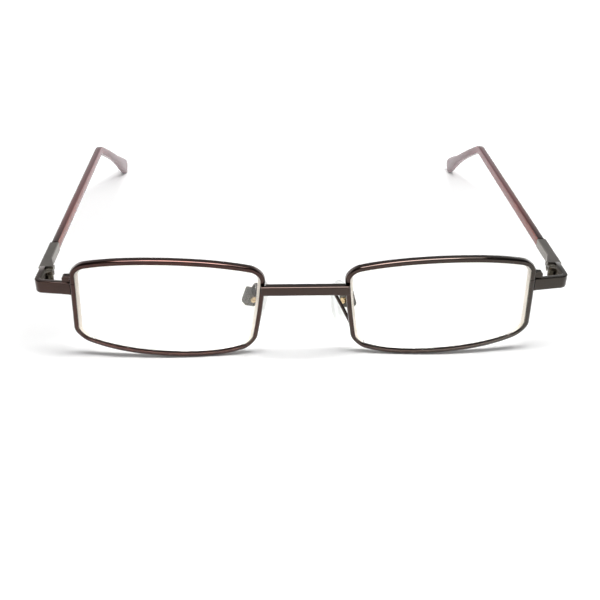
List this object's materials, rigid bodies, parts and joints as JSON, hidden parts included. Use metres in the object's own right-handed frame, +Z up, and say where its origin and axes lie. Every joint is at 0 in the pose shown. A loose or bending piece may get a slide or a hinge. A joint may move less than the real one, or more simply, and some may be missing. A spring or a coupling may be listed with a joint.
{
  "type": "reading glasses",
  "caption": "Full-rim metal reading glasses with narrow bowed lenses, spring hinges, folding temples with bent plastic ear tips, and rocking nose pads.",
  "frame": {"origin": "midway between the two sides, level with the surface that the lower edges of the eyewires and the temple tips stand on, close behind the bridge at the lower front edge of the eyewires", "axes": "the front faces -Y and the open temples run back along +Y, +Z is up, and +X is the wearer's left"},
  "size_m": [0.1362, 0.1349, 0.0297],
  "materials": {
    "brown_frame": "satin brown-black plating",
    "grey_housing": "satin grey plating",
    "bare_steel": "bare nickel silver",
    "steel_screws": "machined",
    "brass_screws": "pale machined brass",
    "spring_wire": "drawn wire",
    "clear_lens": "clear cast acrylic, polished",
    "sleeve_plastic": "translucent rose-brown, polished",
    "clear_plastic": "clear, moulded",
    "clear_silicone": "soft, clear"
  },
  "bodies": {
    "front": {"bridge": "brown_frame", "left_rim": "brown_frame", "right_rim": "brown_frame", "left_lens": "clear_lens", "right_lens": "clear_lens", "left_upper_lock": "brown_frame", "right_upper_lock": "brown_frame", "left_lower_lock": "brown_frame", "right_lower_lock": "brown_frame", "left_rim_screw": "steel_screws", "right_rim_screw": "steel_screws", "left_end_piece": "brown_frame", "right_end_piece": "brown_frame", "left_front_hinge": "brown_frame", "right_front_hinge": "brown_frame", "left_pad_arm": "brown_frame", "right_pad_arm": "brown_frame", "left_pad_box": "grey_housing", "right_pad_box": "grey_housing", "left_pad_screw": "brass_screws", "right_pad_screw": "brass_screws"},
    "left_hinge_pin": {"left_hinge_screw": "steel_screws"},
    "left_carriage": {"left_spring_carriage": "bare_steel", "left_hinge_spring": "spring_wire"},
    "left_temple": {"left_spring_housing": "grey_housing", "left_temple_core": "bare_steel", "left_temple_sleeve": "sleeve_plastic"},
    "left_pad": {"left_pad_insert": "clear_plastic", "left_nose_pad": "clear_silicone"},
    "right_hinge_pin": {"right_hinge_screw": "steel_screws"},
    "right_carriage": {"right_spring_carriage": "bare_steel", "right_hinge_spring": "spring_wire"},
    "right_temple": {"right_spring_housing": "grey_housing", "right_temple_core": "bare_steel", "right_temple_sleeve": "sleeve_plastic"},
    "right_pad": {"right_pad_insert": "clear_plastic", "right_nose_pad": "clear_silicone"}
  },
  "joints": [
    {"name": "left_temple_fold", "type": "hinge", "parent": "front", "child": "left_hinge_pin", "pos_m": [0.06505, 0.009, 0.02035], "axis": [0, 0, 1], "range_deg": [0, 90]},
    {"name": "left_temple_flex", "type": "hinge", "parent": "left_hinge_pin", "child": "left_temple", "pos_m": [0.06765, 0.0088, 0.02035], "axis": [0, 0, 1], "range_deg": [-12, 0], "stiffness_Nm_per_rad": 0.07, "springref_deg": 20.45},
    {"name": "left_carriage_slide", "type": "slide", "parent": "left_temple", "child": "left_carriage", "axis": [0, -1, 0], "range_m": [0, 0.00055], "deforming": ["left_hinge_spring"]},
    {"name": "left_pad_rock", "type": "hinge", "parent": "front", "child": "left_pad", "pos_m": [0.0118, 0.009, 0.0127], "axis": [0.766, 0.6428, 0], "range_deg": [-10, 10]},
    {"name": "right_temple_fold", "type": "hinge", "parent": "front", "child": "right_hinge_pin", "pos_m": [-0.06505, 0.009, 0.02035], "axis": [0, 0, -1], "range_deg": [0, 85]},
    {"name": "right_temple_flex", "type": "hinge", "parent": "right_hinge_pin", "child": "right_temple", "pos_m": [-0.06765, 0.0088, 0.02035], "axis": [0, 0, -1], "range_deg": [-12, 0], "stiffness_Nm_per_rad": 0.07, "springref_deg": 20.45},
    {"name": "right_carriage_slide", "type": "slide", "parent": "right_temple", "child": "right_carriage", "axis": [0, -1, 0], "range_m": [0, 0.00055], "deforming": ["right_hinge_spring"]},
    {"name": "right_pad_rock", "type": "hinge", "parent": "front", "child": "right_pad", "pos_m": [-0.0141, 0.009, 0.0138], "axis": [-0.4384, 0.8988, 0], "range_deg": [-10, 10]}
  ],
  "couplings": [
    {"joint": "left_carriage_slide", "follows": "left_temple_flex", "m_per_rad": -0.0026},
    {"joint": "right_carriage_slide", "follows": "right_temple_flex", "m_per_rad": -0.0026}
  ]
}
